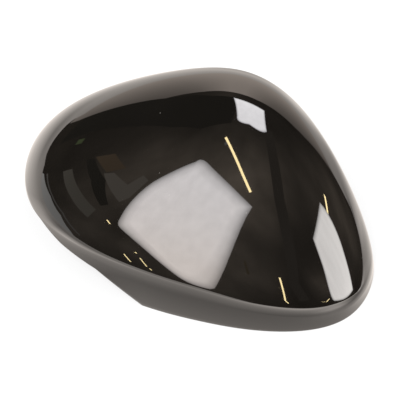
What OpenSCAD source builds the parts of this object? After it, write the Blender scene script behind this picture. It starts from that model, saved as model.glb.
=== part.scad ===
// Cover for the outside of a car's door mirror: one gloss moulding, lying on its rim with the crown up.
// X runs from the inboard end to the outboard tip, Y from the lower edge to the upper edge of the
// fitted mirror, and Z from the rim plane to the crown. The origin is under the middle of the cover.

/* [Overall size] */
// Length from the inboard end to the outboard tip
cover_l = 200; // [190:1:225]
// Width across the lower and upper edges
cover_w = 146; // [135:1:160]
// Height of the crown over the rim
cover_h = 78; // [70:1:86]
// Wall of the moulding
wall_t = 2.5; // [2:0.1:3.2]

/* [Dome] */
// Half length of the round middle of the dome
dome_rl = 81; // [74:1:88]
// Half width of the round middle of the dome
dome_rw = 71; // [66:1:76]

/* [Edge and skirt] */
// Height of the edge line at its highest, over the arm
edge_h = 28.5; // [25:0.5:32]
// How far the skirt leans in by the time it reaches the edge line
skirt_lean = 1.5; // [0.5:0.1:2.5]
// Depth of the shallow hollow that runs along the skirt
skirt_hollow = 0.4; // [0:0.1:0.8]
// Length of the rounding above the edge line
edge_up = 2; // [1:0.1:3]
// Length of the rounded land below the edge line
edge_down = 6; // [3:0.5:8]

/* [Snap hooks] */
// Width of each hook
hook_w = 12; // [8:0.5:14]
// Thickness of a hook's tongue
hook_t = 1.8; // [1.4:0.1:2.4]
// Distance from the outline in to a hook's tongue
hook_in = 7; // [5.5:0.1:8.5]
// Height of a hook's tip over the rim
hook_z = 5; // [3:0.5:7]
// Longest that a hook's tongue may be
hook_l = 26; // [22:1:30]
// How far the barb stands out of the tongue
barb_d = 2.2; // [1.5:0.1:3]
// Height of the barb with its ramp
barb_h = 5; // [4:0.1:6]
// Thickness of the gussets behind a hook
gusset_t = 1.2; // [0.8:0.1:1.6]

/* [Fins along the skirt] */
// Thickness of a fin
fin_t = 1.2; // [0.8:0.1:1.6]
// How far a fin stands out of the wall at its foot
fin_d = 3; // [2:0.5:4]
// Height of a fin
fin_h = 12; // [9:0.5:14]
// Height of a fin's foot over the rim
fin_z = 3; // [2:0.5:5]

/* [Locating pegs] */
// Diameter of a peg
peg_d = 5; // [4:0.1:5.4]
// Length of a peg below its foot
peg_l = 8; // [7:0.5:10]
// Diameter of the foot, whose shoulder rests on the rim of the peg's hole
foot_d = 6; // [5.6:0.1:6.4]
// Height of the foot below the middle of the wall
foot_h = 8; // [7.5:0.5:9.5]
// Thickness of the ribs round the foot
rib_t = 1.2; // [0.8:0.1:1.6]
// Height of the ribs below the middle of the wall
rib_h = 7; // [6:0.5:7.5]
// Reach of the ribs from the middle of the peg, at the wall
rib_r = 7; // [6:0.5:8]
// Reach of the ribs at their lower end
rib_low_r = 4; // [3.5:0.1:4.5]

/* [Hidden] */

columns = 96;        // points round the cover
dome_rings = 12;     // rings from the crown to the rounded edge
edge_steps = 4;      // steps over the rounded edge
overrun = 0.3;       // how far a rib or a peg runs on into what it joins

half_l = cover_l / 2;
half_w = cover_w / 2;

// Guide points of the outline in plan, as shares of the half length and the half width, anticlockwise
// from the outboard tip: slanted upper edge, broad inboard end, straight lower edge.
outline_shares = [
    [1.05, -0.18], [0.78, 0.3], [0.55, 0.66], [0.26, 1.04], [-0.29, 0.99], [-1.03, 0.7],
    [-1.01, -0.27], [-0.66, -0.76], [-0.18, -0.96], [0.15, -1], [0.51, -1.01], [0.96, -0.83]
];
// Height of the edge line at the same guide points, as shares of edge_h
edge_shares = [0.27, 0.22, 0.23, 0.29, 0.38, 0.5, 0.67, 0.86, 0.95, 0.86, 0.63, 0.39];
edge_mean_share = 0.58;
// Cut-out for the arm: angle round the outline, and the share of the edge line's height that is cut away
arm_shares = [[150, 0], [165, 0.88], [198.75, 0.94], [210, 0.72], [225, 0.55], [243.75, 0]];
// Crown of the dome, as shares of the half length and the half width
crown_shares = [0.13, 0.22];

// Turn of the dome's surface from the crown down to the edge line at the guide points, and near the crown
edge_sweeps = [78, 77, 74, 73, 74, 77, 79, 77, 70, 69, 71, 72];
crown_sweep = 65;

hook_angles = [255, 285, 315, 0, 45, 90, 132];
fin_angles = [270, 300, 330, 345, 15, 30, 60, 75, 105, 120];
peg_places = [[185, 0.35], [320, 0.2]];    // angle round the crown, share of the way to the edge

// Value at angle a on a closed smooth curve that a ring of guide values pulls to itself
function smooth_ring(guides, a) =
    let (n = len(guides), u = a / 360 * n, i = floor(u), f = u - i, g = [for (k = [-1:2]) guides[(i + k + n) % n]])
    (pow(1 - f, 3) * g[0] + (3 * pow(f, 3) - 6 * f * f + 4) * g[1]
        + (3 * f + 3 * f * f - 3 * pow(f, 3) + 1) * g[2] + pow(f, 3) * g[3]) / 6;

function unit(v) = v / norm(v);
function flat(lists) = [for (l = lists) for (v = l) v];

// Outline on the rim plane, and the direction that points straight out of it
function outline_at(a) = let (s = smooth_ring(outline_shares, a)) [half_l * s.x, half_w * s.y];
function outward_at(a) = let (d = outline_at(a + 1) - outline_at(a + 359)) unit([d.y, -d.x]);

function edge_z(a) = edge_h * smooth_ring(edge_shares, a);
function rim_z(a) = edge_z(a) * lookup(a, arm_shares);

// Point on the skirt's flat face at height z
function skirt_at(a, z, inset = 0) =
    let (p = outline_at(a) - outward_at(a) * (skirt_lean * z / edge_z(a) + inset)) [p.x, p.y, z];

crown = [half_l * crown_shares.x, half_w * crown_shares.y];
edge_mean = edge_h * edge_mean_share;

// Point on the dome: s runs from 0 at the crown to 1 at the edge line. Near the crown the rings are
// ellipses, and they take the outline's form, and the edge line's rise and fall, as s grows.
function dome_at(a, s) =
    let (
        sweep = crown_sweep + (smooth_ring(edge_sweeps, a) - crown_sweep) * s * s,
        out = sin(sweep * s) / sin(sweep),
        rise = (cos(sweep * s) - cos(sweep)) / (1 - cos(sweep)),
        round_p = [dome_rl * cos(a), dome_rw * sin(a)],
        edge_p = skirt_at(a, edge_z(a)),
        p = crown * (1 - out * out) + round_p * out + ([edge_p.x, edge_p.y] - round_p) * pow(out, 3)
    )
    [p.x, p.y, edge_mean + (cover_h - edge_mean) * rise + (edge_p.z - edge_mean) * pow(out, 3)];

// Share of the way to the edge line at which the dome ends and the rounded edge begins
function dome_end(a) = 1 - edge_up / norm(dome_at(a, 1) - dome_at(a, 0.9)) / 10;

// Lower end of the rounded land. It gets shorter where the cut-out leaves little of the skirt.
function land_z(a) =
    let (h = edge_z(a) - rim_z(a)) edge_z(a) - edge_down * h / (h + edge_down);

function angle_of(i) = 360 * i / columns;

// Outer surface, a list of points from the crown to the rim for each column
outer = [for (i = [0:columns - 1])
    let (
        a = angle_of(i),
        end_s = dome_end(a),
        top = dome_at(a, end_s),
        corner = dome_at(a, 1),
        low = skirt_at(a, land_z(a)),
        mid_z = (land_z(a) + rim_z(a)) / 2,
        hollow = skirt_hollow * (land_z(a) - rim_z(a)) / edge_h
    )
    concat(
        [for (k = [1:dome_rings]) dome_at(a, end_s * k / dome_rings)],
        [for (k = [1:edge_steps])
            let (u = k / edge_steps) top * pow(1 - u, 2) + corner * 2 * u * (1 - u) + low * u * u],
        [skirt_at(a, mid_z, hollow), skirt_at(a, rim_z(a))]
    )];

// Direction straight into the wall at ring k of column i
function inward(i, k) =
    let (
        along = outer[(i + 1) % columns][k] - outer[(i + columns - 1) % columns][k],
        down = outer[i][k + 1] - (k == 0 ? [crown.x, crown.y, cover_h] : outer[i][k - 1])
    )
    unit(cross(along, down));

// Points of a column at a depth under the outer surface. The inside passes the rounded edge in one step.
function column_under(i, depth) =
    let (a = angle_of(i))
    concat(
        [for (k = [0:dome_rings - 1]) outer[i][k] + inward(i, k) * depth],
        [skirt_at(a, land_z(a), depth), skirt_at(a, rim_z(a), depth)]
    );

inner = [for (i = [0:columns - 1]) column_under(i, wall_t)];
middle = [for (i = [0:columns - 1]) column_under(i, wall_t / 2)];

// Triangles between two rings of points that start at index p and q
function band(p, q) = [for (i = [0:columns - 1])
    let (j = (i + 1) % columns)
    each [[p + i, q + i, q + j], [p + i, q + j, p + j]]];

function ring(grid, k) = [for (i = [0:columns - 1]) grid[i][k]];

// The moulded wall: outer surface, flat rim and inner surface as one closed skin
module wall() {
    outer_n = len(outer[0]);
    inner_n = len(inner[0]);
    rings = concat(
        [for (k = [0:outer_n - 1]) ring(outer, k)],
        [for (k = [inner_n - 1:-1:0]) ring(inner, k)]
    );
    last = len(rings) - 1;
    points = concat([[crown.x, crown.y, cover_h], [crown.x, crown.y, cover_h - wall_t]], flat(rings));
    faces = concat(
        [for (i = [0:columns - 1]) [0, 2 + i, 2 + (i + 1) % columns]],
        flat([for (k = [0:last - 1]) band(2 + k * columns, 2 + (k + 1) * columns)]),
        [for (i = [0:columns - 1]) [1, 2 + last * columns + (i + 1) % columns, 2 + last * columns + i]]
    );
    polyhedron(points = points, faces = [for (f = faces) [f[0], f[2], f[1]]]);
}

// Section through the middle of the wall, square to the outline at angle a, from the crown's side down
// to the rim. Each point holds the distance in from the outline and the height.
function wall_section(a) =
    let (o = outline_at(a), n = outward_at(a), along = [-n.y, n.x])
    [for (k = [0:len(middle[0]) - 1]) for (i = [0:columns - 1])
        let (
            p = middle[i][k],
            q = middle[(i + 1) % columns][k],
            before = ([p.x, p.y] - o) * along,
            after = ([q.x, q.y] - o) * along
        )
        if (before < 0 && after >= 0)
            let (m = p + (q - p) * before / (before - after))
            [(o - [m.x, m.y]) * n, m.z]];

// Places what is drawn as inset and height in the upright plane square to the outline, at thickness t
module across_edge(a, t, shift = 0) {
    o = outline_at(a);
    n = outward_at(a);
    translate([o.x, o.y])
        rotate(atan2(-n.y, -n.x))
            rotate([90, 0])
                translate([0, 0, shift - t / 2])
                    linear_extrude(t) children();
}

// Distance in from the outline of the middle of the wall at height z
function inset_at(section, z) = lookup(z, [for (p = section) [p.y, p.x]]);

// The wall's own points between two heights, from the upper one down
function wall_between(section, top_z, low_z) =
    concat(
        [[inset_at(section, top_z), top_z]],
        [for (p = section) if (p.y < top_z - overrun && p.y > low_z + overrun) p],
        [[inset_at(section, low_z), low_z]]
    );

// A snap hook with its barb turned inward. Its tongue hangs from the dome, or where the wall is
// steep from the two gussets behind it.
module snap_hook(a) {
    section = wall_section(a);
    tip_z = rim_z(a) + hook_z;
    front = hook_in + hook_t;
    back_z = min(tip_z + hook_l, lookup(hook_in, section) - hook_t / 2);
    front_z = min(tip_z + hook_l, lookup(front, section));
    foot_z = tip_z + barb_h;
    across_edge(a, hook_w)
        polygon([
            [hook_in, back_z],
            [hook_in, tip_z],
            [hook_in + hook_t / 2, tip_z],
            [front + barb_d, tip_z + barb_h * 0.7],
            [front + barb_d, tip_z + barb_h * 0.8],
            [front, foot_z],
            [front, front_z]
        ]);
    for (side = [-1, 1])
        across_edge(a, gusset_t, side * (hook_w / 2 - gusset_t))
            polygon(concat(
                [[hook_in + overrun, back_z]],
                wall_between(section, back_z, foot_z),
                [[hook_in + overrun, foot_z]]
            ));
}

// A fin that stiffens the skirt and centres the cover, tapering from its foot to nothing
module fin(a) {
    section = wall_section(a);
    foot_z = rim_z(a) + fin_z;
    across_edge(a, fin_t)
        polygon(concat(
            wall_between(section, foot_z + fin_h, foot_z),
            [[inset_at(section, foot_z) + wall_t / 2 + fin_d, foot_z]]
        ));
}

// A locating peg under the dome. Two crossed ribs that follow the dome's slope brace its foot.
module peg(place) {
    here = dome_at(place[0], place[1]);
    up = cross(dome_at(place[0], place[1] + 0.01) - here, dome_at(place[0] + 1, place[1]) - here);
    top = here - [0, 0, wall_t / 2];
    translate([top.x, top.y, top.z - foot_h]) cylinder(d = foot_d, h = foot_h, $fn = 48);
    translate([top.x, top.y, top.z - foot_h - peg_l]) cylinder(d = peg_d, h = peg_l + overrun, $fn = 48);
    for (slope = [[0, -up.x / up.z], [90, -up.y / up.z]])
        translate(top)
            rotate(slope[0])
                rotate([90, 0])
                    translate([0, 0, -rib_t / 2])
                        linear_extrude(rib_t)
                            polygon([
                                [-rib_r, -slope[1] * rib_r - overrun],
                                [-rib_low_r, -rib_h],
                                [rib_low_r, -rib_h],
                                [rib_r, slope[1] * rib_r - overrun]
                            ]);
}

module mirror_cover() {
    color([0.13, 0.12, 0.11])
        union() {
            wall();
            for (a = hook_angles) snap_hook(a);
            for (a = fin_angles) fin(a);
            for (place = peg_places) peg(place);
        }
}

mirror_cover();
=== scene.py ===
import math
import bpy
import numpy as np
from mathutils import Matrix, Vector


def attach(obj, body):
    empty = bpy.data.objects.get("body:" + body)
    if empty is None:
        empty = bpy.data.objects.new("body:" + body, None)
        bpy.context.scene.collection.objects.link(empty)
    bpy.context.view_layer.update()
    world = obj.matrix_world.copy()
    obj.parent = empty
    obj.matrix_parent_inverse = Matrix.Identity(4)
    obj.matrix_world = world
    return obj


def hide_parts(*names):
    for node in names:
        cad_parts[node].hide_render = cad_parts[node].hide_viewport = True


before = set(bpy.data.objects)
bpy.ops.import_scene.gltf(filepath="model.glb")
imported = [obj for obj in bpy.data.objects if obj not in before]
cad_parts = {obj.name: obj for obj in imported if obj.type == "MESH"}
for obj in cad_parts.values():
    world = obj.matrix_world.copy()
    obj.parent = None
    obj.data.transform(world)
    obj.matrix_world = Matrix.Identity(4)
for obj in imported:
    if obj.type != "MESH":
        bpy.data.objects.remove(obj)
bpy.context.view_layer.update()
mm = 0.001
print("frame loaded")

# Camera, at the photograph's viewing angle

cameraSetup = {
    "azimuth": 11.9, "elevation": 49.0, "distance": 0.687, "target": (0, 0, 0.025),
    "lens": 114.7, "shiftX": 0.0036, "shiftY": -0.0482,
}


def aim(azimuth, elevation):
    a, e = math.radians(azimuth), math.radians(elevation)
    return Vector((math.sin(a) * math.cos(e), -math.cos(a) * math.cos(e), math.sin(e)))


cameraData = bpy.data.cameras.new("camera")
cameraData.lens = cameraSetup["lens"]
cameraData.shift_x = cameraSetup["shiftX"]
cameraData.shift_y = cameraSetup["shiftY"]
camera = bpy.data.objects.new("camera", cameraData)
back = aim(cameraSetup["azimuth"], cameraSetup["elevation"])
camera.location = Vector(cameraSetup["target"]) + back * cameraSetup["distance"]
camera.rotation_mode = "QUATERNION"
camera.rotation_quaternion = (-back).to_track_quat("-Z", "Y")
bpy.context.scene.collection.objects.link(camera)
bpy.context.scene.camera = camera

# Small helpers for node trees


def addNode(tree, kind, values=None, **props):
    node = tree.nodes.new(kind)
    for name, value in props.items():
        setattr(node, name, value)
    for name, value in (values or {}).items():
        node.inputs[name].default_value = value
    return node


def wire(tree, source, sourceSocket, sink, sinkSocket):
    tree.links.new(source.outputs[sourceSocket], sink.inputs[sinkSocket])


def newMaterial(name):
    material = bpy.data.materials.new(name)
    material.use_nodes = True
    material.node_tree.nodes.clear()
    return material, material.node_tree


def ramp(tree, stops):
    node = tree.nodes.new("ShaderNodeValToRGB")
    elements = node.color_ramp.elements
    while len(elements) < len(stops):
        elements.new(0.5)
    for element, (place, colour) in zip(elements, stops):
        element.position = place
        element.color = (*colour, 1)
    return node


# Gloss paint on the outside

paint = {
    "dark": (0.004, 0.0035, 0.0028), "light": (0.006, 0.0052, 0.0044), "patchScale": 14,
    "ior": 1.5, "coatRough": 0.012, "rough": 0.022, "roughRange": 0.02,
    "smearScale": 30, "scuffScale": 240, "scuffDepth": 0.03,
    "peelScale": 420, "peelHeight": 0.0000006,
    "dustScale": 150, "dustSize": 0.035, "dustRarity": 0.9, "dustColour": (0.2, 0.19, 0.17),
}


def makePaint():
    material, tree = newMaterial("glossBlackPaint")
    out = addNode(tree, "ShaderNodeOutputMaterial")
    shader = addNode(tree, "ShaderNodeBsdfPrincipled", {
        "IOR": paint["ior"], "Specular IOR Level": 0.45,
        "Coat Weight": 1.0, "Coat IOR": paint["ior"], "Coat Roughness": paint["coatRough"]})
    coords = addNode(tree, "ShaderNodeTexCoord")

    patch = addNode(tree, "ShaderNodeTexNoise", {"Scale": paint["patchScale"], "Detail": 3, "Roughness": 0.5})
    tone = ramp(tree, [(0.35, paint["dark"]), (0.65, paint["light"])])
    wire(tree, coords, "Object", patch, "Vector")
    wire(tree, patch, "Fac", tone, "Fac")

    # sparse specks of dust that lie on the lacquer
    specks = addNode(tree, "ShaderNodeTexVoronoi", {"Scale": paint["dustScale"], "Randomness": 1.0})
    speckSize = addNode(tree, "ShaderNodeMath", operation="LESS_THAN")
    speckSize.inputs[1].default_value = paint["dustSize"]
    few = addNode(tree, "ShaderNodeMath", operation="GREATER_THAN")
    few.inputs[1].default_value = paint["dustRarity"]
    speckPick = addNode(tree, "ShaderNodeSeparateColor")
    dust = addNode(tree, "ShaderNodeMath", operation="MULTIPLY")
    wire(tree, coords, "Object", specks, "Vector")
    wire(tree, specks, "Distance", speckSize, 0)
    wire(tree, specks, "Color", speckPick, "Color")
    wire(tree, speckPick, "Red", few, 0)
    wire(tree, speckSize, 0, dust, 0)
    wire(tree, few, 0, dust, 1)
    dusty = addNode(tree, "ShaderNodeMix", data_type="RGBA")
    dusty.inputs[7].default_value = (*paint["dustColour"], 1)
    wire(tree, dust, 0, dusty, 0)
    wire(tree, tone, 0, dusty, 6)
    wire(tree, dusty, 2, shader, "Base Color")

    # faint smears and fine wiping marks in the roughness
    smear = addNode(tree, "ShaderNodeTexNoise", {
        "Scale": paint["smearScale"], "Detail": 6, "Roughness": 0.6, "Distortion": 0.4})
    turn = addNode(tree, "ShaderNodeMapping")
    turn.inputs["Rotation"].default_value = (0.2, 0.1, 0.6)
    turn.inputs["Scale"].default_value = (0.08, 1.6, 1.0)
    scuff = addNode(tree, "ShaderNodeTexNoise", {"Scale": paint["scuffScale"], "Detail": 4})
    fine = addNode(tree, "ShaderNodeMapRange", {
        "From Min": 0.62, "From Max": 0.8, "To Min": 0.0, "To Max": paint["scuffDepth"]})
    broad = addNode(tree, "ShaderNodeMapRange", {
        "From Min": 0.3, "From Max": 0.75,
        "To Min": paint["rough"], "To Max": paint["rough"] + paint["roughRange"]})
    rough = addNode(tree, "ShaderNodeMath", operation="ADD")
    wire(tree, coords, "Object", smear, "Vector")
    wire(tree, coords, "Object", turn, "Vector")
    wire(tree, turn, "Vector", scuff, "Vector")
    wire(tree, scuff, "Fac", fine, "Value")
    wire(tree, smear, "Fac", broad, "Value")
    wire(tree, fine, "Result", rough, 0)
    wire(tree, broad, "Result", rough, 1)
    wire(tree, rough, 0, shader, "Roughness")

    # the lacquer's slight orange peel
    peel = addNode(tree, "ShaderNodeTexNoise", {"Scale": paint["peelScale"], "Detail": 1})
    bump = addNode(tree, "ShaderNodeBump", {"Strength": 0.5, "Distance": paint["peelHeight"]})
    wire(tree, coords, "Object", peel, "Vector")
    wire(tree, peel, "Fac", bump, "Height")
    wire(tree, bump, "Normal", shader, "Normal")
    wire(tree, bump, "Normal", shader, "Coat Normal")
    wire(tree, shader, "BSDF", out, "Surface")
    return material


# Bare moulding on the inside

moulding = {
    "dark": (0.02, 0.0195, 0.019), "light": (0.03, 0.029, 0.028), "flowScale": 22, "rough": (0.38, 0.6),
    "grainScale": 900, "grainHeight": 0.00002,
}


def makeMoulding():
    material, tree = newMaterial("satinMoulding")
    out = addNode(tree, "ShaderNodeOutputMaterial")
    shader = addNode(tree, "ShaderNodeBsdfPrincipled", {"IOR": 1.48, "Specular IOR Level": 0.4})
    coords = addNode(tree, "ShaderNodeTexCoord")
    flow = addNode(tree, "ShaderNodeTexNoise", {
        "Scale": moulding["flowScale"], "Detail": 5, "Roughness": 0.6, "Distortion": 0.8})
    tone = ramp(tree, [(0.3, moulding["dark"]), (0.7, moulding["light"])])
    smoothest, roughest = moulding["rough"]
    rough = addNode(tree, "ShaderNodeMapRange", {"To Min": smoothest, "To Max": roughest})
    grain = addNode(tree, "ShaderNodeTexNoise", {"Scale": moulding["grainScale"], "Detail": 3})
    bump = addNode(tree, "ShaderNodeBump", {"Strength": 0.6, "Distance": moulding["grainHeight"]})
    wire(tree, coords, "Object", flow, "Vector")
    wire(tree, flow, "Fac", tone, "Fac")
    wire(tree, tone, "Color", shader, "Base Color")
    wire(tree, flow, "Fac", rough, "Value")
    wire(tree, rough, "Result", shader, "Roughness")
    wire(tree, coords, "Object", grain, "Vector")
    wire(tree, grain, "Fac", bump, "Height")
    wire(tree, bump, "Normal", shader, "Normal")
    wire(tree, shader, "BSDF", out, "Surface")
    return material


glossBlackPaint = makePaint()
satinMoulding = makeMoulding()
print("materials made")

# The cover's shell. Lengths are in millimetres. Guide values stand every 30 degrees round the outline,
# anticlockwise from the outboard tip: the outline as shares of the half length and half width, the edge
# line as shares of its height, and edgeUp and edgeDown as how far its rounding reaches.

cover = {
    "length": 200, "width": 146, "height": 78, "wall": 2.5,
    "domeHalfLength": 81, "domeHalfWidth": 71, "crownX": 0.13, "crownY": 0.22,
    "edgeHeight": 28.5, "edgeMean": 0.58, "lean": 1.5, "hollow": 0.4,
    "edgeUp": [3, 2.2, 2, 2, 2, 1.5, 1.2, 1, 0.9, 1, 1.6, 2.5],
    "edgeDown": [6, 4, 4, 4, 4, 4, 4.5, 5, 5, 5, 5.5, 6],
    "outline": [(1.05, -0.18), (0.78, 0.3), (0.55, 0.66), (0.26, 1.04), (-0.29, 0.99), (-1.03, 0.7),
                (-1.01, -0.27), (-0.66, -0.76), (-0.18, -0.96), (0.15, -1), (0.51, -1.01), (0.96, -0.83)],
    "edge": [0.27, 0.22, 0.23, 0.29, 0.38, 0.5, 0.67, 0.86, 0.95, 0.86, 0.63, 0.39],
    "sweeps": [78, 77, 74, 73, 74, 77, 79, 77, 70, 69, 71, 72], "crownSweep": 65,
    "armCut": [(150, 0), (165, 0.88), (198.75, 0.94), (210, 0.72), (225, 0.55), (243.75, 0)],
    "columns": 288, "domeRings": 56, "edgeRings": 14, "skirtRings": 10, "filletRings": 6,
    "innerSkirtShares": (0.25, 0.5, 0.75, 1), "rimRound": 0.3, "rimTurns": (0.5, 1.05, 1.57),
}


# A smooth closed curve through the guide values, at angle a in degrees
def smoothRing(guides, a):
    g = np.array(guides, float)
    u = np.asarray(a, float) % 360 / 360 * len(g)
    i = np.floor(u).astype(int)
    f = u - i
    if g.ndim > 1:
        f = f[..., None]
    pick = lambda k: g[(i + k) % len(g)]
    return ((1 - f) ** 3 * pick(-1) + (3 * f ** 3 - 6 * f ** 2 + 4) * pick(0)
            + (1 + 3 * f + 3 * f ** 2 - 3 * f ** 3) * pick(1) + f ** 3 * pick(2)) / 6


def unit(v):
    return v / np.linalg.norm(v, axis=-1, keepdims=True)


def outlineAt(a):
    return smoothRing(cover["outline"], a) * np.array([cover["length"] / 2, cover["width"] / 2])


def outwardAt(a):
    d = outlineAt(a + 1) - outlineAt(a - 1)
    return unit(np.stack([d[..., 1], -d[..., 0]], -1))


def edgeZ(a):
    return cover["edgeHeight"] * smoothRing(cover["edge"], a)


def rimZ(a):
    places, shares = zip(*cover["armCut"])
    return edgeZ(a) * np.interp(np.asarray(a) % 360, places, shares, left=0, right=0)


def skirtAt(a, z, inset=0):
    a, z, inset = np.broadcast_arrays(np.asarray(a, float), z, inset)
    p = outlineAt(a) - outwardAt(a) * (cover["lean"] * z / edgeZ(a) + inset)[..., None]
    return np.concatenate([p, z[..., None]], -1)


def crownPlace():
    return np.array([cover["crownX"] * cover["length"] / 2, cover["crownY"] * cover["width"] / 2])


# A point of the dome: s runs from 0 at the crown to 1 at the edge line
def domeAt(a, s):
    a, s = np.broadcast_arrays(np.asarray(a, float), np.asarray(s, float))
    r = np.radians
    sweep = cover["crownSweep"] + (smoothRing(cover["sweeps"], a) - cover["crownSweep"]) * s * s
    out = np.sin(r(sweep * s)) / np.sin(r(sweep))
    rise = (np.cos(r(sweep * s)) - np.cos(r(sweep))) / (1 - np.cos(r(sweep)))
    crown = crownPlace()
    roundP = np.stack([cover["domeHalfLength"] * np.cos(r(a)), cover["domeHalfWidth"] * np.sin(r(a))], -1)
    edgeP = skirtAt(a, edgeZ(a))[..., :2]
    mean = cover["edgeHeight"] * cover["edgeMean"]
    plan = crown * (1 - out ** 2)[..., None] + roundP * out[..., None]
    plan = plan + (edgeP - roundP) * (out ** 3)[..., None]
    z = mean + (cover["height"] - mean) * rise + (edgeZ(a) - mean) * out ** 3
    return np.concatenate([plan, z[..., None]], -1)


# Where along the dome the edge line's rounding starts
def domeEnd(a):
    near = 0.9
    slope = np.linalg.norm(domeAt(a, 1) - domeAt(a, near), axis=-1) / (1 - near)
    return 1 - smoothRing(cover["edgeUp"], a) / slope


# Height at which that rounding ends on the skirt
def landZ(a):
    h, down = edgeZ(a) - rimZ(a), smoothRing(cover["edgeDown"], a)
    return edgeZ(a) - down * h / (h + down)


def shellRings():
    a = np.arange(cover["columns"]) * 360 / cover["columns"]
    wall, r, rings = cover["wall"], cover["rimRound"], cover["domeRings"]
    endS, rim, land = domeEnd(a), rimZ(a), landZ(a)
    dome = [domeAt(a, endS * k / rings) for k in range(1, rings + 1)]
    corner, low = domeAt(a, 1), skirtAt(a, land)
    bend = lambda p, q, v, u: p * (1 - u) ** 2 + q * 2 * u * (1 - u) + v * u * u
    edge = [bend(dome[-1], corner, low, k / cover["edgeRings"]) for k in range(1, cover["edgeRings"] + 1)]
    shallow = cover["hollow"] * (land - rim) / cover["edgeHeight"]
    reach = land - rim - np.minimum(r, (land - rim) / 3)
    skirt = [skirtAt(a, land - reach * t, shallow * 4 * t * (1 - t))
             for t in np.linspace(0, 1, cover["skirtRings"] + 1)[1:]]
    lip = [skirtAt(a, rim + r * (1 - math.sin(t)), r * (1 - math.cos(t))) for t in cover["rimTurns"]]
    outer = dome + edge + skirt + lip

    # the inside runs a wall's thickness under the dome and the skirt, with a fillet behind the edge line
    crown = np.array([*crownPlace(), cover["height"]])
    above = [np.broadcast_to(crown, dome[0].shape)] + dome
    below = dome[1:] + edge[:1]
    inward = [unit(np.cross(np.roll(dome[k], -1, 0) - np.roll(dome[k], 1, 0), below[k] - above[k]))
              for k in range(rings)]
    under = lambda depth: [dome[k] + inward[k] * depth for k in range(rings)]
    flat = -np.concatenate([outwardAt(a), np.zeros((len(a), 1))], -1)
    share = 1 + (inward[-1] * flat).sum(-1, keepdims=True)
    innerCorner = corner + (inward[-1] + flat) * wall / share
    steps = cover["filletRings"]
    high, low = under(wall)[-1], skirtAt(a, land, wall)
    fillet = [bend(high, innerCorner, low, k / steps) for k in range(1, steps + 1)]
    innerSkirt = [skirtAt(a, land - (land - rim - r) * t, wall) for t in cover["innerSkirtShares"]]
    innerLip = [skirtAt(a, rim + r * (1 - math.sin(t)), wall - r * (1 - math.cos(t)))
                for t in cover["rimTurns"]]
    inner = under(wall)[::2] + fillet + innerSkirt + innerLip
    middle = under(wall / 2) + [skirtAt(a, land, wall / 2), skirtAt(a, rim, wall / 2)]
    return crown, outer, inner, middle


def meshObject(name, points, faces, materials):
    mesh = bpy.data.meshes.new(name)
    mesh.from_pydata([tuple(p) for p in np.asarray(points) * mm], [], faces)
    mesh.validate()
    for material in materials:
        mesh.materials.append(material)
    mesh.shade_smooth()
    piece = bpy.data.objects.new(name, mesh)
    bpy.context.scene.collection.objects.link(piece)
    return piece


def makeShell(crown, outer, inner):
    n = cover["columns"]
    rings = outer + inner[::-1]
    points = [crown, crown - np.array([0, 0, cover["wall"]])] + [p for ring in rings for p in ring]
    first = lambda k: 2 + k * n
    faces = [(0, first(0) + i, first(0) + (i + 1) % n) for i in range(n)]
    for k in range(len(rings) - 1):
        for i in range(n):
            j = (i + 1) % n
            faces.append((first(k) + i, first(k + 1) + i, first(k + 1) + j, first(k) + j))
    last = first(len(rings) - 1)
    faces += [(1, last + (i + 1) % n, last + i) for i in range(n)]
    shell = meshObject("coverShell", points, faces, [glossBlackPaint, satinMoulding])
    painted = (len(outer) + 1) * n    # the paint runs round the lip on to the rim
    for polygon in shell.data.polygons:
        polygon.material_index = 0 if polygon.index < painted else 1
    return shell


crown, outerRings, innerRings, middleRings = shellRings()
coverShell = makeShell(crown, outerRings, innerRings)
print("shell made:", len(coverShell.data.polygons), "faces")

# Plates of a named thickness, for the hooks, fins and ribs under the cover


def makePlateTree(material):
    tree = bpy.data.node_groups.new("plateMaker", "GeometryNodeTree")
    tree.interface.new_socket("Geometry", in_out="INPUT", socket_type="NodeSocketGeometry")
    thickness = tree.interface.new_socket("Thickness", in_out="INPUT", socket_type="NodeSocketFloat")
    tree.interface.new_socket("Geometry", in_out="OUTPUT", socket_type="NodeSocketGeometry")
    start = tree.nodes.new("NodeGroupInput")
    end = tree.nodes.new("NodeGroupOutput")
    extrude = addNode(tree, "GeometryNodeExtrudeMesh", mode="FACES")
    extrude.inputs["Individual"].default_value = True
    flip = tree.nodes.new("GeometryNodeFlipFaces")
    join = tree.nodes.new("GeometryNodeJoinGeometry")
    merge = addNode(tree, "GeometryNodeMergeByDistance", {"Distance": 0.000005})
    realize = tree.nodes.new("GeometryNodeRealizeInstances")
    paintIt = tree.nodes.new("GeometryNodeSetMaterial")
    paintIt.inputs["Material"].default_value = material
    wire(tree, start, "Geometry", extrude, "Mesh")
    wire(tree, start, "Thickness", extrude, "Offset Scale")
    wire(tree, start, "Geometry", flip, "Mesh")
    wire(tree, extrude, "Mesh", join, "Geometry")
    wire(tree, flip, "Mesh", join, "Geometry")
    wire(tree, join, "Geometry", merge, "Geometry")
    wire(tree, merge, "Geometry", realize, "Geometry")
    wire(tree, realize, "Geometry", paintIt, "Geometry")
    wire(tree, paintIt, "Geometry", end, "Geometry")
    return tree, thickness.identifier


plateTree, thicknessSocket = makePlateTree(satinMoulding)


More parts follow.
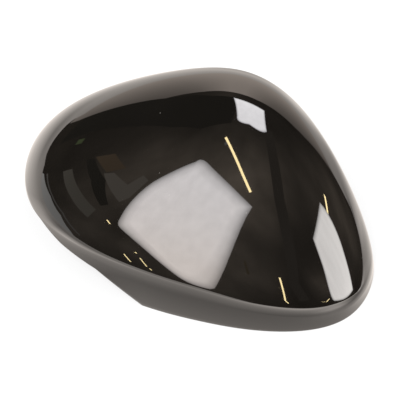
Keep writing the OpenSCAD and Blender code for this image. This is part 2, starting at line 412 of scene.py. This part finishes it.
def makePlates(name, outlines, thickness):
    points = [p for outline in outlines for p in outline]
    faces, at = [], 0
    for outline in outlines:
        faces.append(tuple(range(at, at + len(outline))))
        at += len(outline)
    source = meshObject(name + "Outlines", points, faces, [satinMoulding])
    source.data.shade_flat()
    maker = source.modifiers.new("plates", "NODES")
    maker.node_group = plateTree
    maker[thicknessSocket] = thickness * mm
    ready = source.evaluated_get(bpy.context.evaluated_depsgraph_get())
    mesh = bpy.data.meshes.new_from_object(ready)
    bpy.data.objects.remove(source)
    piece = bpy.data.objects.new(name, mesh)
    bpy.context.scene.collection.objects.link(piece)
    return piece


hooks = {
    "angles": [255, 285, 315, 0, 45, 90, 132], "width": 12, "tongue": 1.8, "inset": 7, "tipHeight": 5,
    "longest": 26, "barbOut": 2.2, "barbHeight": 5, "barbLow": 0.7, "barbHigh": 0.8,
    "gusset": 1.2, "overrun": 0.3,
}
fins = {
    "angles": [270, 300, 330, 345, 15, 30, 60, 75, 105, 120],
    "thickness": 1.2, "depth": 3, "height": 12, "foot": 3,
}
pegs = {    # places as angle and share of the way from the crown to the edge line
    "places": [(185, 0.35), (320, 0.2)], "diameter": 5, "length": 8, "chamfer": 0.6, "segments": 48,
    "footDiameter": 6, "footHeight": 8, "footRound": 0.15,
    "ribThickness": 1.2, "ribHeight": 7, "ribReach": 7, "ribLowReach": 4, "ribSink": 0.3,
}
cornerClear = 0.3    # points of the wall nearer than this to a plate's corner are left out


# Section through the middle of the wall, square to the outline at angle a: inset and height
def wallSection(a):
    o, n = outlineAt(a), outwardAt(a)
    along = np.array([-n[1], n[0]])
    section = []
    for ring in middleRings:
        side = (ring[:, :2] - o) @ along
        for i in np.nonzero((side < 0) & (np.roll(side, -1) >= 0))[0]:
            q = np.roll(ring, -1, 0)[i]
            m = ring[i] + (q - ring[i]) * side[i] / (side[i] - np.roll(side, -1)[i])
            section.append(((o - m[:2]) @ n, m[2]))
    return np.array(section[::-1])    # from the rim up


def heightAt(section, inset):
    return float(np.interp(inset, *section.T))


def insetAt(section, z):
    return float(np.interp(z, section[:, 1], section[:, 0]))


def backOf(section, topZ, lowZ):
    between = [tuple(p) for p in section[::-1] if lowZ + cornerClear < p[1] < topZ - cornerClear]
    return [(insetAt(section, topZ), topZ)] + between + [(insetAt(section, lowZ), lowZ)]


# Stands an outline of (inset, height) points in the upright plane square to the edge at angle a
def acrossEdge(a, shape, shift):
    o, n = outlineAt(a), outwardAt(a)
    along = np.array([-n[1], n[0]])
    return [(*(o - n * inset + along * shift), z) for inset, z in shape]


tongues, gussets, finPlates = [], [], []
for a in hooks["angles"]:
    section = wallSection(a)
    tip = float(rimZ(a)) + hooks["tipHeight"]
    front, rear = hooks["inset"] + hooks["tongue"], hooks["inset"]
    backZ = min(tip + hooks["longest"], heightAt(section, rear) - hooks["tongue"] / 2)
    frontZ = min(tip + hooks["longest"], heightAt(section, front))
    foot, barb = tip + hooks["barbHeight"], front + hooks["barbOut"]
    barbLow, barbHigh = (tip + hooks["barbHeight"] * hooks[share] for share in ("barbLow", "barbHigh"))
    tongue = [(rear, backZ), (rear, tip), (rear + hooks["tongue"] / 2, tip), (barb, barbLow),
              (barb, barbHigh), (front, foot), (front, frontZ)]
    tongues.append(acrossEdge(a, tongue, -hooks["width"] / 2))
    near = rear + hooks["overrun"]
    gusset = [(near, backZ)] + backOf(section, backZ, foot) + [(near, foot)]
    for side in (-1, 1):
        middle = side * (hooks["width"] / 2 - hooks["gusset"])
        gussets.append(acrossEdge(a, gusset, middle - hooks["gusset"] / 2))
for a in fins["angles"]:
    section = wallSection(a)
    foot = float(rimZ(a)) + fins["foot"]
    shape = backOf(section, foot + fins["height"], foot)
    shape.append((insetAt(section, foot) + cover["wall"] / 2 + fins["depth"], foot))
    finPlates.append(acrossEdge(a, shape, -fins["thickness"] / 2))


def makePegs():
    ribs, points, faces = [], [], []
    r, foot, bow, c = pegs["diameter"] / 2, pegs["footDiameter"] / 2, pegs["footRound"], pegs["chamfer"]
    step, length = pegs["footHeight"], pegs["footHeight"] + pegs["length"]
    reach, lowReach = pegs["ribReach"], pegs["ribLowReach"]
    for place in pegs["places"]:
        here = domeAt(*place)
        up = np.cross(domeAt(place[0], place[1] + 0.01) - here, domeAt(place[0] + 1, place[1]) - here)
        top = here - np.array([0, 0, cover["wall"] / 2])
        for axis, slope in ((0, -up[0] / up[2]), (1, -up[1] / up[2])):
            shape = [(-reach, -slope * reach - pegs["ribSink"]), (-lowReach, -pegs["ribHeight"]),
                     (lowReach, -pegs["ribHeight"]), (reach, slope * reach - pegs["ribSink"])]
            t = pegs["ribThickness"] / 2
            ribs.append([top + np.array([u, t, z] if axis == 0 else [-t, u, z]) for u, z in shape])
        first, count = len(points), pegs["segments"]
        profile = [(foot, 0), (foot, -step + bow), (foot - bow, -step), (r, -step),
                   (r, -length + c), (r - bow * c, -length + 0.35 * c), (r - c, -length)]
        turns = np.arange(count) * 2 * math.pi / count
        points += [top + np.array([q * math.cos(t), q * math.sin(t), z]) for q, z in profile for t in turns]
        for k in range(len(profile) - 1):
            for i in range(count):
                j = (i + 1) % count
                faces.append((first + k * count + i, first + (k + 1) * count + i,
                              first + (k + 1) * count + j, first + k * count + j))
        faces.append(tuple(first + i for i in range(count)))
        faces.append(tuple(first + (len(profile) - 1) * count + i for i in reversed(range(count))))
    pins = meshObject("locatingPegs", points, faces, [satinMoulding])
    return pins, makePlates("pegRibs", ribs, pegs["ribThickness"])


hookTongues = makePlates("hookTongues", tongues, hooks["width"])
hookGussets = makePlates("hookGussets", gussets, hooks["gusset"])
skirtFins = makePlates("skirtFins", finPlates, fins["thickness"])
locatingPegs, pegRibs = makePegs()
roundings = [(hookTongues, 0.25), (hookGussets, 0.15), (skirtFins, 0.15), (pegRibs, 0.15)]
for piece, width in roundings:    # moulded corners are never sharp
    soften = piece.modifiers.new("soften", "BEVEL")
    soften.width, soften.segments, soften.limit_method = width * mm, 2, "ANGLE"
for piece in (coverShell, hookTongues, hookGussets, skirtFins, locatingPegs, pegRibs):
    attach(piece, "root")
    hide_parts("mirror_cover")
print("hooks, fins and pegs made")

# Floor and the studio that the gloss mirrors. Bearings: 0 is behind the cover, 90 to its outboard side.

studio = {
    "floorWhite": 0.8, "cameraWhite": 0.72, "cameraShade": 0.32,
    "ambient": 0.55, "roomTone": 0.05, "roomColour": (1.0, 0.82, 0.66), "distance": 8.0,
    "softbox": 7.2, "tube": 14.0, "lampSize": 1.2, "half": 8000,
}


def bearing(azimuth, elevation):
    a, e = math.radians(azimuth), math.radians(elevation)
    return (math.cos(e) * math.sin(a), math.cos(e) * math.cos(a), math.sin(e))


def makeFloor():
    material, tree = newMaterial("paleFloor")
    out = addNode(tree, "ShaderNodeOutputMaterial")
    path = tree.nodes.new("ShaderNodeLightPath")
    plain = addNode(tree, "ShaderNodeBsdfDiffuse", {"Color": (studio["floorWhite"],) * 3 + (1,)})
    seen = addNode(tree, "ShaderNodeEmission", {"Strength": studio["cameraWhite"]})
    seenShade = addNode(tree, "ShaderNodeBsdfDiffuse", {"Color": (studio["cameraShade"],) * 3 + (1,)})
    seenAll = tree.nodes.new("ShaderNodeAddShader")
    choose = tree.nodes.new("ShaderNodeMixShader")
    wire(tree, seen, 0, seenAll, 0)
    wire(tree, seenShade, 0, seenAll, 1)
    wire(tree, path, "Is Camera Ray", choose, 0)
    wire(tree, plain, 0, choose, 1)
    wire(tree, seenAll, 0, choose, 2)
    wire(tree, choose, 0, out, "Surface")
    half = studio["half"]
    floor = meshObject("floor", [(-half, -half, 0), (half, -half, 0), (half, half, 0), (-half, half, 0)],
                       [(0, 1, 2, 3)], [material])
    floor.visible_glossy = False


# The white sheet as the paint mirrors it: a glowing sheet seen only in reflections, whose tones are painted
# light and shade. In front it has painted shade, darkest just off the foot, and is brightest a little way
# out. Behind it carries a painted shadow of the cover, and it ends a little outboard of the tip. Soft pools
# of
# painted light and shade lie on it: bearing, distance, spread in degrees, spread as a power of e, strength.
sheet = {
    "ends": [(116, -40), (5500, -3100), (0, -8000), (-8000, 0), (-7500, 3600), (-640, 330), (-590, 380),
             (-560, 450), (-590, 520), (-5300, 5100), (0, 8000), (5700, 5500), (198, 96), (152, 14)],
    "steps": [0, 5, 12, 20, 30, 60, 110, 200, 400, 8000], "turn": 3,
    # front tone by distance: painted shade just off the foot, then a painted brighter sheet further out
    "paintedFrontFall": [(0, 1.2), (12, 0.62), (25, 1.3), (60, 2.2), (120, 2.6), (400, 1.9), (8000, 1.3)],
    "rear": 0.9, "frontStart": 0.05, "frontSpan": 0.3, "lowest": 0.1, "near": 10,
    "paintedPools": [
        (-127, 90, 12, 0.7, 1.6), (-124, 600, 22, 1.2, -1.0), (-147, 200, 12, 0.5, 1.2),
        (-127, 0, 14, 0.6, 0.7), (142, 90, 20, 0.8, 1.3), (114, 400, 10, 1.5, 1.3),
        (124, 22, 8, 0.35, 1.6), (112, 25, 7, 0.5, -0.6), (-112, 200, 8, 0.8, -1.0),
        (-92, 80, 25, 2, 0.55), (-58, 220, 16, 0.6, -0.45), (-22, 40, 12, 0.35, 0.6),
        (0, 75, 18, 0.45, -0.6), (24, 150, 10, 0.7, 0.3), (48, 90, 12, 0.9, -0.3),
        (68, 230, 9, 0.4, -0.7), (76, 75, 10, 0.5, 0.45), (112, 160, 9, 0.6, 0.8)],
    "colour": (1.0, 0.92, 0.855),
}


def tonedMaterial(name, colour):
    material, tree = newMaterial(name)
    out = addNode(tree, "ShaderNodeOutputMaterial")
    tone = addNode(tree, "ShaderNodeAttribute", attribute_name="tone")
    light = addNode(tree, "ShaderNodeEmission", {"Color": (*colour, 1)})
    wire(tree, tone, "Fac", light, "Strength")
    wire(tree, light, "Emission", out, "Surface")
    material.cycles.emission_sampling = "NONE"
    return material


def tonedObject(name, points, tones, faces, material):
    piece = meshObject(name, points, faces, [material])
    attribute = piece.data.attributes.new("tone", "FLOAT", "POINT")
    attribute.data.foreach_set("value", np.array(tones, np.float32))
    onlyMirrored(piece)


# How far a ray from the middle runs before it meets the line through the corners
def rayEnd(direction, corners):
    nearest = studio["half"] * 1.125
    for k in range(len(corners)):
        p, q = np.array(corners[k], float), np.array(corners[(k + 1) % len(corners)], float)
        pair = np.array([direction, p - q]).T
        if abs(np.linalg.det(pair)) > 1e-9:
            t, u = np.linalg.solve(pair, p)
            if t > 0 and 0 <= u <= 1:
                nearest = min(nearest, t)
    return nearest


# Faces between rings of count points each, the rings lying one after another
def ringFaces(rings, count):
    faces = []
    for k in range(rings - 1):
        for i in range(count):
            j = (i + 1) % count
            faces.append((k * count + i, k * count + j, (k + 1) * count + j, (k + 1) * count + i))
    return faces


# the sheet's tone at a point: painted front shade and light by distance, plus the painted pools of light and
# shade
def sheetTone(step, degrees, inFront):
    tone = np.interp(step, *zip(*sheet["paintedFrontFall"])) * inFront + sheet["rear"] * (1 - inFront)
    for place, distance, turn, spread, strength in sheet["paintedPools"]:
        aside = ((degrees - place + 180) % 360 - 180) / turn
        beyond = math.log((step + sheet["near"]) / (distance + sheet["near"])) / spread
        tone += strength * math.exp(-aside ** 2 - beyond ** 2)
    return max(tone, sheet["lowest"])


def makeMirroredSheet():
    ring = outlineAt(np.arange(0, 360, 1.0))
    polar = np.arctan2(ring[:, 0], ring[:, 1])
    order = np.argsort(polar)
    bearings = np.radians(np.arange(-180, 180, sheet["turn"]))
    foot = np.interp(bearings, polar[order], np.hypot(*ring.T)[order], period=2 * math.pi)
    points, tones = [], []
    for step in sheet["steps"]:
        for b, r in zip(bearings, foot):
            direction = np.array([math.sin(b), math.cos(b)])
            reach = min(r + step, rayEnd(direction, sheet["ends"]) + step * 0.001)
            inFront = np.clip((-direction[1] - sheet["frontStart"]) / sheet["frontSpan"], 0, 1)
            points.append((*(direction * reach), 0))
            tones.append(sheetTone(step, math.degrees(b), inFront))
    faces = ringFaces(len(sheet["steps"]), len(bearings))
    tonedObject("mirroredSheet", points, tones, faces, tonedMaterial("mirroredSheet", sheet["colour"]))


# Corners are bearing, height of the top edge in degrees, tone at the foot, tone at the top
board = {
    "corners": [
        (-48, 2, 0.5, 0.42), (-44, 19, 0.6, 0.46), (-41, 29, 0.7, 0.48), (-33, 35, 0.8, 0.65),
        (-27, 38, 0.82, 0.86), (-9, 42, 0.86, 1.7), (3, 43, 0.86, 1.7), (16, 42, 0.95, 1.15),
        (27, 38, 0.95, 0.7), (36, 32, 0.85, 0.55), (42, 26, 0.7, 0.5), (45, 19, 0.6, 0.45),
        (47, 3, 0.25, 0.2)],
    "foot": -2, "rows": 8, "colour": (1.0, 0.86, 0.76),
}


def makeBoard():
    points, tones, rows, foot = [], [], board["rows"], board["foot"]
    for azimuth, top, low, high in board["corners"]:
        for k in range(rows + 1):
            up = np.array(bearing(azimuth, foot + (top - foot) * k / rows))
            points.append(up * studio["distance"] / mm)
            tones.append(low + (high - low) * k / rows)
    faces = []
    for i in range(len(board["corners"]) - 1):
        for k in range(rows):
            here, there = i * (rows + 1) + k, (i + 1) * (rows + 1) + k
            faces.append((here, there, there + 1, here + 1))
    tonedObject("backBoard", points, tones, faces, tonedMaterial("backBoard", board["colour"]))


def glow(name, colour, strength):
    material, tree = newMaterial(name)
    out = addNode(tree, "ShaderNodeOutputMaterial")
    light = addNode(tree, "ShaderNodeEmission", {"Color": (*colour, 1), "Strength": strength})
    wire(tree, light, "Emission", out, "Surface")
    material.cycles.emission_sampling = "NONE"
    return material


# A softbox front is a little warmer at its foot and shows faint upright folds
def softboxFace(name, strength, top, foot):
    material, tree = newMaterial(name)
    out = addNode(tree, "ShaderNodeOutputMaterial")
    coords = addNode(tree, "ShaderNodeTexCoord")
    upright = addNode(tree, "ShaderNodeMapping")
    upright.inputs["Scale"].default_value = (1.2, 1.2, 0.12)
    folds = addNode(tree, "ShaderNodeTexNoise", {"Scale": 1.5, "Detail": 3})
    level = addNode(tree, "ShaderNodeMapRange", {
        "From Min": 0.3, "From Max": 0.7, "To Min": strength * 0.955, "To Max": strength * 1.045})
    height = addNode(tree, "ShaderNodeSeparateXYZ")
    share = addNode(tree, "ShaderNodeMapRange", {"From Min": 2.5, "From Max": 7.0})
    edge = addNode(tree, "ShaderNodeAttribute", attribute_name="tone")
    faded = addNode(tree, "ShaderNodeMath", operation="MULTIPLY")
    tint = ramp(tree, [(0.0, foot), (1.0, top)])
    light = addNode(tree, "ShaderNodeEmission")
    wire(tree, coords, "Object", upright, "Vector")
    wire(tree, upright, "Vector", folds, "Vector")
    wire(tree, folds, "Fac", level, "Value")
    wire(tree, level, "Result", faded, 0)
    wire(tree, edge, "Fac", faded, 1)
    wire(tree, faded, 0, light, "Strength")
    wire(tree, coords, "Object", height, "Vector")
    wire(tree, height, "Z", share, "Value")
    wire(tree, share, "Result", tint, "Fac")
    wire(tree, tint, "Color", light, "Color")
    wire(tree, light, "Emission", out, "Surface")
    material.cycles.emission_sampling = "NONE"
    return material


def onlyMirrored(piece):
    piece.visible_camera = piece.visible_diffuse = piece.visible_shadow = piece.visible_transmission = False


def makePanel(name, corners, colour, strength, nearer=1.0):
    reach = studio["distance"] * nearer / mm
    points = [np.array(bearing(*corner)) * reach for corner in corners]
    onlyMirrored(meshObject(name, points, [tuple(range(len(points)))], [glow(name, colour, strength)]))


# Faint light on the room's walls: bearing, height, spread in degrees, strength
room = {
    "across": 72, "up": 30, "lowest": -45, "span": 134, "radius": 10,
    "glows": [
        (168, 60, 14, 0.34), (-140, 66, 16, 0.28), (-118, 42, 13, 0.16), (100, 8, 14, 0.3),
        (-170, 12, 22, 0.18), (64, 0, 12, 0.1), (165, 30, 14, 0.22), (-98, 28, 20, 0.08), (20, 84, 16, 0.08),
        (160, 80, 14, 0.1), (-124, 13, 15, 0.14), (134, 68, 13, 0.34), (98, 60, 16, 0.18), (75, 32, 15, 0.13),
        (66, 12, 12, 0.18), (-98, 54, 14, 0.2), (-15, 52, 14, 0.12), (123, 19, 8, 0.24), (140, 52, 8, 0.18),
        (-149, 18, 6, 0.18)],
}


# Share of the way in across the faded edge of a softbox, and its tone there
softboxFade = [(0, 0.3), (0.25, 0.58), (0.5, 0.8), (1, 1)]
sideSteps = 6    # straight pieces in each curved side of a softbox


# A closed outline of curved sides: corners and the points that the sides bend through take turns
def curvedSides(places):
    v = [np.array(bearing(*place)) for place in places]
    outline = []
    for k in range(0, len(v), 2):
        p, through, q = v[k], v[k + 1], v[(k + 2) % len(v)]
        guide = 2 * through - (p + q) / 2
        for t in np.arange(sideSteps) / sideSteps:
            outline.append(p * (1 - t) ** 2 + guide * 2 * t * (1 - t) + q * t * t)
    return unit(np.array(outline))


def makeSoftbox(name, places, material, fade):
    outer = curvedSides(places) * studio["distance"] / mm
    count = len(outer)
    points, tones = [], []
    for inward, tone in softboxFade:
        points += list(outer + (outer.mean(0) - outer) * inward * fade)
        tones += [tone] * count
    faces = ringFaces(len(softboxFade), count)
    faces.append(tuple(range(len(points) - count, len(points))))
    tonedObject(name, points, tones, faces, material)


def makeRoom():
    material, tree = newMaterial("dimRoom")
    out = addNode(tree, "ShaderNodeOutputMaterial")
    coords = addNode(tree, "ShaderNodeTexCoord")
    patches = addNode(tree, "ShaderNodeTexNoise", {"Scale": 0.45, "Detail": 3})
    uneven = addNode(tree, "ShaderNodeMapRange", {
        "From Min": 0.3, "From Max": 0.7, "To Min": 0.75, "To Max": 1.25})
    tone = addNode(tree, "ShaderNodeAttribute", attribute_name="tone")
    strength = addNode(tree, "ShaderNodeMath", operation="MULTIPLY")
    light = addNode(tree, "ShaderNodeEmission", {"Color": (*studio["roomColour"], 1)})
    wire(tree, coords, "Object", patches, "Vector")
    wire(tree, patches, "Fac", uneven, "Value")
    wire(tree, uneven, "Result", strength, 0)
    wire(tree, tone, "Fac", strength, 1)
    wire(tree, strength, 0, light, "Strength")
    wire(tree, light, "Emission", out, "Surface")
    material.cycles.emission_sampling = "NONE"
    points, tones = [], []
    for k in range(room["up"] + 1):
        for i in range(room["across"]):
            v = np.array(bearing(360 * i / room["across"], room["lowest"] + room["span"] * k / room["up"]))
            tone = studio["roomTone"]
            for azimuth, elevation, spread, strength in room["glows"]:
                off = math.degrees(math.acos(np.clip(v @ np.array(bearing(azimuth, elevation)), -1, 1)))
                tone += strength * math.exp(-(off / spread) ** 2)
            points.append(v * room["radius"] / mm)
            tones.append(tone)
    tonedObject("dimRoom", points, tones, ringFaces(room["up"] + 1, room["across"]), material)


makeFloor()
makeMirroredSheet()
makeRoom()
frontFace = softboxFace("frontFace", studio["softbox"] * 1.05, (1.0, 0.955, 0.955), (1.0, 0.91, 0.86))
topFace = softboxFace("topFace", studio["softbox"] * 1.17, (1.0, 0.98, 1.0), (1.0, 0.98, 1.0))
sideFace = softboxFace("sideFace", studio["softbox"] * 1.02, (1.0, 0.96, 0.93), (1.0, 0.96, 0.93))
makeSoftbox("frontSoftbox", [
    (-126, 73), (-131, 75.8), (-153, 76.6), (168, 71.4), (141.8, 57.6), (165, 41.8), (-179, 5.2),
    (-175, 2.3), (-169.5, 5), (-154, 19.3), (-136, 28.7), (-133, 30.5), (-130.6, 34), (-121.6, 47.6),
    (-118.3, 57), (-119.8, 64.5)], frontFace, 0.26)
makeSoftbox("topSoftbox", [
    (-6, 50), (12, 50.9), (29, 48), (39, 55), (53.5, 60), (52, 65.5), (35, 70), (15, 73), (5, 69),
    (-1.5, 60)], topFace, 0.14)
makeSoftbox("sideSoftbox", [
    (77, 29), (76.4, 20), (81, 10), (84.4, 2), (87, -7), (101, -3.5), (116, 4), (117, 12), (111, 26),
    (108.5, 31), (105.5, 35.5), (92, 34)], sideFace, 0.12)
makeBoard()

# Name: corners as bearing and height, colour, strength, share of the distance
panels = {
    "leftBoard": ([(-68, -3), (-72, 2), (-90, 8), (-107, 8), (-120, 2), (-126, -3)],
                  (1, 0.98, 0.95), 1.0, 1),
    "dimShelf": ([(-77, 17), (-78, 22), (-98, 28), (-117, 30), (-119, 23), (-98, 22)],
                 (0.55, 0.5, 0.42), 0.6, 1),
    "leftTrim": ([(-73, 4.5), (-90, 9), (-106, 10.5), (-125, 4.5), (-125, 5.7), (-107, 11.7), (-91, 10.2),
                  (-73, 5.7)], (1, 0.95, 0.88), 0.3, 1),
    "brownBox": ([(-76, 31), (-79, 39), (-95, 46), (-92, 39)], (1, 0.7, 0.45), 0.3, 1.05),
    "paleBox": ([(-92, 38), (-95, 42), (-110, 46), (-108, 52), (-115, 53), (-121, 44), (-120, 40),
                 (-108, 40)], (1, 0.88, 0.75), 0.46, 1),
    "darkGap": ([(-75, 27), (-77, 31), (-98, 39), (-118, 36), (-116, 33), (-93, 33)],
                (1, 0.9, 0.75), 0.05, 1.05),
    "greenLight": ([(-59.5, 14), (-60, 17), (-62.5, 17.5), (-62, 14.5)], (0.7, 0.9, 0.4), 0.3, 1),
    "darkCorner": ([(-58, 4), (-57, 17), (-61, 37), (-65, 54), (-61, 70), (-2, 76), (0, 62), (-2, 50),
                    (-24, 46), (-38, 34), (-45, 14), (-46, 4)], (1, 0.9, 0.75), 0.035, 1.1),
    "faintTube": ([(162.2, 33), (163.4, 33), (164.4, 25), (163.2, 25)], (1, 0.74, 0.42), 0.2, 1),
    "darkBand": ([(50, 62), (52, 55), (109, 52), (139, 24), (138, 12), (145, 11), (146, 23), (117, 56)],
                 (1, 0.84, 0.7), 0.105, 1.1),
}
for name, panel in panels.items():
    makePanel(name, *panel)

# Name: two ends as bearing and height, thickness in degrees
tubes = {
    "tubeMiddle": ((-20, 86), (136.5, 63), 1.35), "tubeRight": ((68.7, 22.3), (76, 23.2), 1.2),
    "tubeLow": ((149, 26.6), (153.2, 10.6), 0.75), "tubeLowHook": ((153.2, 10.6), (152.3, 8.6), 0.6),
    "tubeCorner": ((120, 8.4), (124.3, 7.2), 0.5), "tubeLeft": ((-146, 9.8), (-149.6, 4.4), 0.45),
    "tubeLeftSmall": ((-152, 12), (-155.8, 6), 0.45), "tubeBesideBox": ((-127, 29.2), (-130.3, 28), 0.5),
    "tubeDot": ((-149, 15.6), (-150, 15), 0.5), "tubeLowDot": ((-157, 5), (-158, 4), 0.5),
    "tubeCornerLong": ((124.3, 7.2), (128.5, 8.6), 0.15),
}
tubesNearer = 0.95
warmTube = glow("warmTube", (1.0, 0.8, 0.42), studio["tube"])


def makeTube(name, start, end, thick):
    p, q = Vector(bearing(*start)), Vector(bearing(*end))
    side = p.cross(q).normalized() * math.radians(thick) / 2
    reach = studio["distance"] * tubesNearer / mm
    corners = [np.array(v) * reach for v in (p - side, q - side, q + side, p + side)]
    onlyMirrored(meshObject(name, corners, [(0, 1, 2, 3)], [warmTube]))


for name, tube in tubes.items():
    makeTube(name, *tube)


def makeLamp(name, place, watts):
    data = bpy.data.lights.new(name, "AREA")
    data.shape, data.size, data.energy = "DISK", studio["lampSize"], watts
    lamp = bpy.data.objects.new(name, data)
    lamp.location = place
    lamp.rotation_mode = "QUATERNION"
    lamp.rotation_quaternion = Vector(place).to_track_quat("Z", "Y")
    lamp.visible_glossy = False
    lamp.visible_camera = False
    bpy.context.scene.collection.objects.link(lamp)


makeLamp("softLampFront", (-0.5, -0.9, 1.5), 22)
makeLamp("softLampBack", (0.4, 0.9, 1.4), 10)

world = bpy.data.worlds.new("studioWorld")
bpy.context.scene.world = world
world.use_nodes = True
tree = world.node_tree
tree.nodes.clear()
worldOut = addNode(tree, "ShaderNodeOutputWorld")
path = tree.nodes.new("ShaderNodeLightPath")
plain = addNode(tree, "ShaderNodeBackground", {"Color": (1, 1, 1, 1), "Strength": studio["ambient"]})
white = addNode(tree, "ShaderNodeBackground", {"Color": (1, 1, 1, 1), "Strength": 1.0})
choose = tree.nodes.new("ShaderNodeMixShader")
wire(tree, path, "Is Camera Ray", choose, 0)
wire(tree, plain, 0, choose, 1)
wire(tree, white, 0, choose, 2)
wire(tree, choose, 0, worldOut, "Surface")
bpy.context.scene.view_settings.view_transform = "Standard"
print("studio made")
